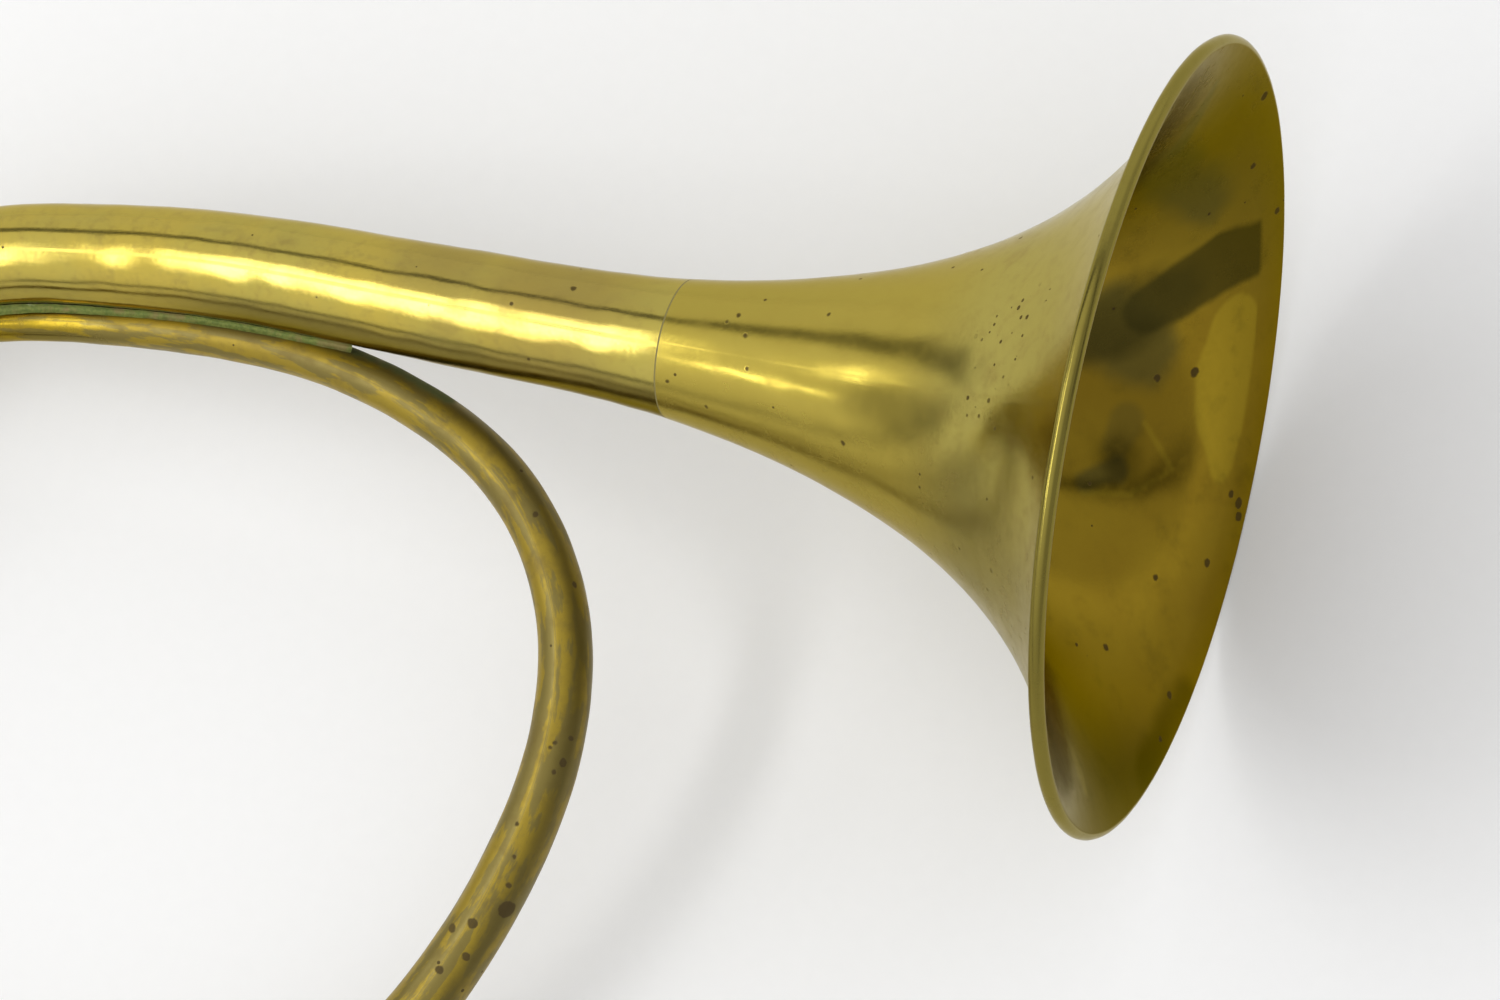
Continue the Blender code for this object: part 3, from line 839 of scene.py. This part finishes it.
# under, shade, under_tint and under_fades set each brass's painted shade on its dim side.
FLARE_BRASS = brass(
    "flare_brass", light=rgb(0.385, 0.325, 0.080), dull=rgb(0.34, 0.29, 0.075), gloss=0.14,
    satin=0.07, pitted=0.06, drawn=0.6, marks=BELL_MARKS, under=(-0.05, 0.22, 0.6), bell=True)
TAIL_BRASS = brass(
    "tail_brass", light=rgb(0.455, 0.350, 0.066), dull=rgb(0.40, 0.33, 0.075), gloss=0.08,
    satin=0.07, pitted=0.05, under=(0.30, 0.58, 0.8), under_tint=rgb(0.50, 0.43, 0.30),
    under_fades=(195.0, 240.0), worn=WORN_TAIL, marks=TAIL_MARKS)
COIL_BRASS = brass(
    "coil_brass", light=rgb(0.285, 0.200, 0.016), dull=rgb(0.180, 0.138, 0.030),
    dark=rgb(0.15, 0.105, 0.022), gloss=0.15, satin=0.12, pitted=0.12, shade=COIL_PAINTED_SHADE,
    under=(0.35, 0.85, 0.75), tarnish=0.6, polished=(885.0, 915.0), marks=COIL_MARKS)
FERRULE_BRASS = brass("ferrule_brass", light=OLIVE, gloss=0.16, satin=0.14, pitted=0.15)
RECEIVER_BRASS = brass("receiver_brass", gloss=0.14, satin=0.10)
MOUTHPIECE_BRASS = brass("mouthpiece_brass", light=rgb(0.55, 0.45, 0.13), gloss=0.10)
SEAM_SOLDER = solder("seam_solder", 0.0)
GREEN_SOLDER = solder("green_solder", 0.28)


# --- bell

FLARE_START = 3.4  # where the flare's sheet leaves the bead
FLARE_ROWS = 104
FLARE_CROWDING = 1.15  # rows lie closer together towards the mouth
BEAD_ROWS = 28
BEAD_TURN = (-15.0, 248.0)  # of the rolled sheet, in degrees
BEAD_GAP = 0.05  # between the rolled sheet and its wire
SLOPE_STEP = 0.1


def flare_normal(along):
    """Unit vector out of the flare, in (x, radius)."""
    rise = bell_radius(along - SLOPE_STEP) - bell_radius(along + SLOPE_STEP)
    return Vector((-rise / (2 * SLOPE_STEP), 1.0)).normalized()


def bell_outline():
    """Outline of the flare and its rolled bead, as (x, radius)."""
    end = BELL_JOINT + LAP_SHOWN
    shares = [(k / FLARE_ROWS) ** FLARE_CROWDING for k in range(FLARE_ROWS + 1)]
    places = [FLARE_START + (end - FLARE_START) * share for share in shares]
    back = [Vector((-along, bell_radius(along))) for along in places]
    front = [p - flare_normal(along) * SHEET for p, along in zip(back, places)]
    front[-1].x = -end
    centre = Vector((-BEAD_RADIUS, MOUTH_RADIUS - BEAD_RADIUS))
    turns = [radians(a) for a in np.linspace(*BEAD_TURN, BEAD_ROWS)]
    arc = [Vector((cos(t), sin(t))) for t in turns]
    over = [centre + way * BEAD_RADIUS for way in arc]
    under = [centre + way * (BEAD_RADIUS - SHEET + BEAD_GAP) for way in arc]
    return [tuple(p) for p in back[::-1] + under + over[::-1] + front]


def build_bell():
    outline = bell_outline()
    crest = max(range(len(outline)), key=lambda i: outline[i][0])
    turn_piece("bell_flare_skin", outline, Vector((0.0, 0.0, 0.0)), Vector((1.0, 0.0, 0.0)),
               BELL_SIDES, FLARE_BRASS, "bell_flare", amount=0.65,
               inner=crest + 1)


def build_joint_seam():
    first = BELL_JOINT + LAP_SHOWN + SEAM_CLEAR
    last = BELL_JOINT + SOLDER_LINE + 2 * GAP - SEAM_CLEAR
    middle = (first + last) / 2
    outline = [(first, outside(first)), (middle, outside(middle) - SEAM_SINK),
               (last, outside(last)), (last, outside(last) - SHEET),
               (first, outside(first) - SHEET)]
    sweep("bell_joint_seam", outline, TAIL_SIDES, SEAM_SOLDER, "bell_joint_solder",
          lumps=lambda point: SEAM_LUMP * noise.noise(point / SEAM_GRAIN))


# --- tubes

TAIL_STEP, LOWER_STEP, UPPER_STEP = 1.5, 1.8, 1.6  # between a tube's rows of points
COARSER = 5  # rows on the hidden inside are that much further apart
TAIL_COARSER = 6
NECK_EASE = 2.0  # from the tail's shoulder to its full bore
FERRULE_BEAD = 1.2  # a ferrule's rolled ends
FERRULE_EDGE = 0.2
FERRULE_BEAD_TURN = pi * 0.85
FERRULE_BEAD_ROWS = 9
FERRULE_DIP = 0.25  # of the middle, below the rolled ends


def tube_outline(start, end, step):
    """Outline of an open-ended tube, as (place, radius)."""
    outline = [(along, outside(along)) for along in spaced(start, end, step)]
    inside = spaced(start, end, COARSER * step)
    return outline + [(along, outside(along) - SHEET) for along in reversed(inside)]


def build_tail():
    """The tail, with the neck inside the flare."""
    shrink = SHEET + GAP
    shoulder = BELL_JOINT + SOLDER_LINE + 2 * GAP
    neck = [BELL_JOINT - BELL_LAP, shoulder]
    body = spaced(shoulder, TAIL_JOINT - GAP / 2, TAIL_STEP)
    hollow = [along for along in body[::TAIL_COARSER] if along > shoulder + NECK_EASE]
    outline = [(along, outside(along) - shrink) for along in neck]
    outline += [(along, outside(along)) for along in body]
    outline += [(along, outside(along) - SHEET) for along in [body[-1]] + hollow[::-1]]
    outline.append((shoulder + NECK_EASE, outside(shoulder) - shrink - SHEET))
    outline.append((neck[0], outside(neck[0]) - shrink - SHEET))
    sweep("bell_tail_skin", outline, TAIL_SIDES, TAIL_BRASS, "bell_tail")


def build_coil():
    half = GAP / 2
    for name, node, start, end, step, sides, amount in (
        ("coil_lower_skin", "coil_lower_branch", TAIL_JOINT + half, COIL_JOINT - half,
         LOWER_STEP, COIL_SIDES, 1.0),
        ("coil_upper_skin", "coil_upper_branch", COIL_JOINT + half, PIPE_JOINT - half,
         UPPER_STEP, COIL_SIDES, 0.8),
        ("mouthpipe_skin", "mouthpipe", PIPE_JOINT + half, PIPE_END, UPPER_STEP, PIPE_SIDES, 0.6),
    ):
        outline = tube_outline(start, end, step)
        sweep(name, outline, sides, COIL_BRASS, node, amount)


def build_ferrule(node, middle):
    """A band with rolled ends over a joint."""
    half = FERRULE_LENGTH / 2
    bead = [(-half + FERRULE_BEAD * (1 - cos(t)),
             FERRULE_EDGE + (FERRULE_WALL - FERRULE_EDGE) * sin(t))
            for t in np.linspace(0.0, FERRULE_BEAD_TURN, FERRULE_BEAD_ROWS)]
    profile = bead + [(0.0, FERRULE_WALL - FERRULE_DIP)] + [(-x, lift) for x, lift in bead[::-1]]
    outline = [(middle + x, outside(middle + x) + GAP + lift) for x, lift in profile]
    outline += [(middle + x, outside(middle + x) + GAP) for x in (half, 0.0, -half)]
    sweep(node + "_skin", outline, COIL_SIDES, FERRULE_BRASS, node, amount=0.5)


# --- solder and saddle

FILLET_STEP = 0.8
CROSSING_OVER = (285.0, 345.0)  # stretches of the route that cross each other
CROSSING_UNDER = (940.0, 1000.0)
CROSSING_REACH = 16.0  # how far from there walls are looked for
SADDLE_INSET = 0.7  # from the mouthpipe's width
SADDLE_CELLS = 16


def build_nest_solder():
    """A lumpy fillet between the tail and the thin tube."""
    clearance, taper, cut_off = 0.1, 14.0, 0.02
    low, high, depth, dip = 1.9, 3.1, 0.5, 0.55
    cells, lump, lump_size = 10, 0.25, 2.2
    rows = []
    for along in spaced(FILLET_START, FILLET_END, FILLET_STEP):
        middle = ROUTE.point(along)
        ahead = ROUTE.heading(along)
        other = nearest(middle, *NESTED_STRETCH)
        towards = ROUTE.point(other) - middle
        towards -= ahead * towards.dot(ahead)
        reach = towards.length
        towards.normalize()
        up = ahead.cross(towards).normalized()
        if up.z < 0:
            up = -up
        near, far = outside(along) + clearance, outside(other) + clearance
        end = min(along - FILLET_START, FILLET_END - along) / taper
        top = low + (high - low) * min(1.0, sqrt(max(end, cut_off)))
        left = sqrt(near ** 2 - top ** 2)
        right = reach - sqrt(far ** 2 - top ** 2)
        row = []
        for k in range(cells + 1):
            share = k / cells
            sag = dip * sin(pi * share)
            spot = middle + towards * (left + (right - left) * share) + up * (top - sag)
            row.append(spot + up * lump * noise.noise(spot / lump_size))
        for place in (reach - sqrt(far ** 2 - low ** 2), sqrt(near ** 2 - low ** 2)):
            row.append(middle + up * (low - depth) + towards * place)
        rows.append(row)
    make_piece("nest_solder_fillet", rows, GREEN_SOLDER, "horn", "nest_solder",
               loop=False)


def plan_distance(along, x, y):
    """Distance in plan between the route and a point."""
    centre = ROUTE.point(along)
    return hypot(centre.x - x, centre.y - y)


def crossing():
    """The two places where the route crosses itself in plan."""
    overs, unders = np.arange(*CROSSING_OVER, 1.0), np.arange(*CROSSING_UNDER, 1.0)
    spots = {along: ROUTE.point(along) for along in (*overs, *unders)}
    pairs = [(over, under) for over in overs for under in unders]
    return min(pairs, key=lambda pair: (spots[pair[0]] - spots[pair[1]]).xy.length)


def wall_height(x, y, middle, side):
    """Height of a tube's top, or with side -1 of its underside."""
    places = np.arange(middle - CROSSING_REACH, middle + CROSSING_REACH, SEARCH_STEP)
    along = min(places, key=lambda place: plan_distance(place, x, y))
    rise = sqrt(outside(along) ** 2 - plan_distance(along, x, y) ** 2)
    return ROUTE.point(along).z + side * rise


def build_saddle():
    """A casting between the coil and the mouthpipe below it."""
    over, under = crossing()
    middle = ROUTE.point(over)
    coil_way, pipe_way = ROUTE.heading(over).xy.normalized(), ROUTE.heading(under).xy.normalized()
    lean = abs(coil_way.cross(pipe_way))
    half_length = (PIPE_RADIUS - SADDLE_INSET) / lean
    half_width = SADDLE_HALF_WIDTH / lean
    shares = [2 * k / SADDLE_CELLS - 1 for k in range(SADDLE_CELLS + 1)]
    rows = []
    for along_coil in shares:
        upper, lower = [], []
        for along_pipe_way in shares:
            spot = middle.xy + coil_way * (half_length * along_coil)
            spot += pipe_way * (half_width * along_pipe_way)
            roof = wall_height(spot.x, spot.y, over, -1) - 2 * GAP
            floor = wall_height(spot.x, spot.y, under, 1) + GAP
            upper.append(Vector((spot.x, spot.y, roof)))
            lower.append(Vector((spot.x, spot.y, floor)))
        rows.append(upper + lower[::-1])
    make_piece("crossing_saddle_cast", rows, FERRULE_BRASS, "horn", "crossing_saddle",
               loop=False)


# --- receiver and mouthpiece

RECEIVER_MARGIN = 1.0  # from the pipe's end to the socket's step
RECEIVER_BORE, RECEIVER_MOUTH = 3.95, 4.75
RING_INSET, RING_ROWS = 1.0, 21

# Mouthpiece profiles: distance from the receiver's mouth, and from the cup's rim.
MOUTHPIECE_RIM = MOUTHPIECE_LENGTH - SHANK_IN
MOUTHPIECE_OUTSIDE = (
    (-SHANK_IN, 3.55), (0.0, 4.4), (1.6, 4.55), (4.0, 5.3), (5.6, 4.7), (12.0, 5.1),
    (20.0, 6.9), (27.0, 9.1), (31.0, 10.3), (32.4, 11.3), (34.4, 10.9), (36.0, CUP_RADIUS),
)
CUP_RIM = ((-1.2, CUP_RADIUS), (-0.3, CUP_RADIUS - 0.9), (0.0, CUP_RADIUS - 1.9))
CUP_HOLLOW = (
    (0.0, CUP_BORE + 1.0), (-0.8, CUP_BORE), (-5.0, CUP_BORE - 1.0), (-13.0, 5.6),
    (-22.0, 3.3), (-30.0, THROAT_RADIUS),
)
SHANK_BORE = 2.75


def build_receiver():
    """The socket and its ring; gives its mouth and the way out."""
    ahead = ROUTE.heading(PIPE_END)
    start = ROUTE.point(PIPE_END) - ahead * (PIPE_SOCKET - RECEIVER_MARGIN)
    end = RECEIVER_LENGTH
    socket = PIPE_RADIUS + GAP
    outline = rounded([(0.0, RECEIVER_RADIUS - 0.7), (0.8, RECEIVER_RADIUS),
                       (end - 0.6, RECEIVER_RADIUS), (end, RECEIVER_RADIUS - 0.4)])
    outline += [(end, RECEIVER_MOUTH), (PIPE_SOCKET + RECEIVER_MARGIN, RECEIVER_BORE),
                (PIPE_SOCKET, RECEIVER_BORE), (PIPE_SOCKET, socket), (0.0, socket)]
    turn_piece("receiver_skin", outline, start, ahead, TURNED_SIDES, RECEIVER_BRASS,
               "receiver")
    inner = RECEIVER_RADIUS + GAP
    first = end - RING_LENGTH - RING_INSET
    ring = [(first + RING_LENGTH * u, inner + RING_WALL * (0.5 + 0.5 * sin(pi * u)))
            for u in np.linspace(0.0, 1.0, RING_ROWS)]
    ring += [(first + RING_LENGTH, inner), (first, inner)]
    turn_piece("receiver_ring_skin", ring, start, ahead, TURNED_SIDES, RECEIVER_BRASS,
               "receiver_ring")
    return start + ahead * end, ahead


def build_mouthpiece(mouth, ahead):
    """The mouthpiece, with its shank in the receiver."""
    rim = [(MOUTHPIECE_RIM + x, radius) for x, radius in CUP_RIM]
    hollow = [(MOUTHPIECE_RIM + x, radius) for x, radius in CUP_HOLLOW]
    outline = rounded([*MOUTHPIECE_OUTSIDE, *rim]) + rounded([*hollow, (-SHANK_IN, SHANK_BORE)])
    turn_piece("mouthpiece_turned", outline, mouth, ahead, TURNED_SIDES, MOUTHPIECE_BRASS,
               "mouthpiece", body="mouthpiece")


def finish_rim_wire():
    """The rim wire stays as the CAD made it, in worn brass."""
    made, tree = new_tree("wire_brass")
    place = add_node(tree, "TexCoord").outputs["Object"]
    grain = noise_of(tree, place, 0.004, 5.0, 0.6)
    colour = mix(tree, ramp(tree, grain, 0.35, 0.7), OLIVE, BROWN)
    metal(tree, colour, ramp(tree, grain, 0.3, 0.7, 0.25, 0.5), grain)
    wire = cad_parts["bell_rim_wire"]
    wire.data.materials.clear()
    wire.data.materials.append(made)


# --- light, floor and camera

FLOOR_SIZE = 6.0
FLOOR_DROP = 0.0002  # clear of what stands on it
FLOOR_GREY, FLOOR_LIGHT = rgb(0.91, 0.91, 0.91), rgb(0.93, 0.93, 0.93)
FLOOR_GRAIN = 0.004

LIGHT_DISTANCE = 1.6
LIGHT_TARGET = Vector((0.05, 0.05, 0.06))
# Name, azimuth, elevation, tilt, half length and half width in degrees, and radiance.
SOFTBOXES = (
    ("key_softbox", -154.0, 54.3, 156.0, 18.5, 2.9, 5.5),
    ("long_softbox", -150.5, 49.6, 156.0, 26.0, 2.2, 5.0),
    ("first_spot", -149.5, 35.2, 0.0, 2.3, 2.0, 9.0),
    ("second_spot", -152.3, 30.6, 0.0, 2.3, 2.0, 9.0),
    ("small_softbox", -178.0, 28.0, 0.0, 5.5, 4.0, 4.0),
)

# A pale sweep fills the directions past a plane; a dark edge runs along it.
SWEEP_EDGE_WAY = Vector((0.067, 0.882, -0.466))
SWEEP_EDGE = 0.095
EDGE_SOFTNESS = 0.01
EDGE_DARK = (0.030, 0.075)
HORIZON = 0.01
HORIZON_DARK = (0.02, 0.11)
# Levels round a direction: azimuth, elevation, near, far, first and last level.
ROOM_LEVEL = (-150, 48, 22, 70, 1.22, 0.85)
EDGE_WIDTH = (160, 12, 12, 35, 2.0, 1.0)
EDGE_LEVEL = (160, 12, 12, 35, 0.25, 0.20)
HORIZON_LEVEL = 0.35
HORIZON_CLEAR = (-142, 0, 22, 42, 0.0, 1.0)
DIM_PATCHES = (
    (-165, 12, 5, 17, 0.5, 1.0),
    (5, 10, 45, 75, 0.7, 1.0),
    (4, 25, 3, 9, 0.3, 1.0),
)

CAMERA_PLACE = Vector((212.384, -27.931, 878.278))
CAMERA_LEAN, CAMERA_TURN = radians(18.705), radians(11.235)
CAMERA_LENS, SENSOR_WIDTH = 108.0, 36.0
CLIP_START = 0.01


def build_floor():
    made, tree = new_tree("pale_floor")
    place = add_node(tree, "TexCoord").outputs["Object"]
    grain = noise_of(tree, place, FLOOR_GRAIN, 3.0, 0.5)
    colour = mix(tree, grain, FLOOR_GREY, FLOOR_LIGHT)
    names = {"Base Color": colour, "Roughness": 0.9, "Specular IOR Level": 0.1}
    surface(tree, add_node(tree, "BsdfPrincipled", names))
    half = FLOOR_SIZE / 2
    mesh = bpy.data.meshes.new("floor")
    mesh.from_pydata([(-half, -half, 0), (half, -half, 0), (half, half, 0), (-half, half, 0)],
                     [], [(0, 1, 2, 3)])
    mesh.materials.append(made)
    floor = new_object("floor", mesh)
    floor.location.z = -FLOOR_DROP


def way_at(azimuth, elevation):
    """Unit vector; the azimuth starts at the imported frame's +X."""
    around, up = radians(azimuth), radians(elevation)
    return Vector((cos(up) * cos(around), cos(up) * sin(around), sin(up)))


def level_round(tree, way, azimuth, elevation, near, far, first, last):
    """Level easing from first to last, near to far degrees away from a direction."""
    close = vector_of(tree, "DOT_PRODUCT", way, tuple(way_at(azimuth, elevation)))
    low, high = cos(radians(far)), cos(radians(near))
    return ramp(tree, close, low, high, last, first)


def build_world():
    """A pale sweep with a dark edge, and a dimmer room over it."""
    world = bpy.data.worlds.new("studio")
    world.use_nodes = True
    bpy.context.scene.world = world
    tree = world.node_tree
    tree.nodes.clear()
    way = add_node(tree, "TexCoord").outputs["Generated"]
    over = vector_of(tree, "DOT_PRODUCT", way, tuple(SWEEP_EDGE_WAY))
    over = less(tree, over, SWEEP_EDGE)
    on_sweep = ramp(tree, over, -EDGE_SOFTNESS, EDGE_SOFTNESS)
    room = level_round(tree, way, *ROOM_LEVEL)
    level = add_node(tree, "Mix", {0: on_sweep, 2: room, 3: 1.0}).outputs[0]
    edge = math_of(tree, "DIVIDE", math_of(tree, "ABSOLUTE", over),
                   level_round(tree, way, *EDGE_WIDTH))
    least = level_round(tree, way, *EDGE_LEVEL)
    level = times(tree, level, ramp(tree, edge, *EDGE_DARK, least, 1.0))
    height = less(tree, parts_of(tree, way)["Z"], HORIZON)
    line = ramp(tree, math_of(tree, "ABSOLUTE", height), *HORIZON_DARK, HORIZON_LEVEL, 1.0)
    clear = level_round(tree, way, *HORIZON_CLEAR)
    level = times(tree, level, math_of(tree, "MAXIMUM", line, clear))
    for patch in DIM_PATCHES:
        level = times(tree, level, level_round(tree, way, *patch))
    shade = add_node(tree, "Background", {"Color": rgb(1.0, 1.0, 1.0), "Strength": level})
    surface(tree, shade, "OutputWorld")


def build_softbox(name, azimuth, elevation, tilt, half_length, half_width, radiance):
    """An oval softbox that the horn sees at an azimuth and elevation."""
    away = way_at(azimuth, elevation)
    level = UP.cross(away).normalized()
    lean = radians(tilt)
    length_way = level * cos(lean) + away.cross(level) * sin(lean)
    light = bpy.data.lights.new(name, "AREA")
    light.shape = "ELLIPSE"
    light.size = 2 * LIGHT_DISTANCE * tan(radians(half_length))
    light.size_y = 2 * LIGHT_DISTANCE * tan(radians(half_width))
    light.energy = radiance * pi * pi / 4 * light.size * light.size_y
    made = new_object(name, light)
    turn = Matrix((length_way, away.cross(length_way), away)).transposed()
    made.matrix_world = Matrix.Translation(LIGHT_TARGET + away * LIGHT_DISTANCE) @ turn.to_4x4()
    made.visible_camera = False


def build_camera():
    lens = bpy.data.cameras.new("camera")
    lens.lens = CAMERA_LENS
    lens.sensor_width = SENSOR_WIDTH
    lens.clip_start = CLIP_START
    camera = new_object("camera", lens)
    turn = Matrix.Rotation(CAMERA_LEAN, 4, "Y") @ Matrix.Rotation(CAMERA_TURN, 4, "Z")
    camera.matrix_world = HORN @ Matrix.Translation(CAMERA_PLACE * MM) @ turn
    bpy.context.scene.camera = camera


build_bell()
build_joint_seam()
build_tail()
build_coil()
for part, joint in (("tail", TAIL_JOINT), ("coil", COIL_JOINT), ("mouthpipe", PIPE_JOINT)):
    build_ferrule(part + "_ferrule", joint)
build_nest_solder()
build_saddle()
build_mouthpiece(*build_receiver())
finish_rim_wire()
build_floor()
build_world()
for softbox in SOFTBOXES:
    build_softbox(*softbox)
build_camera()
bpy.context.scene.view_settings.view_transform = "Standard"
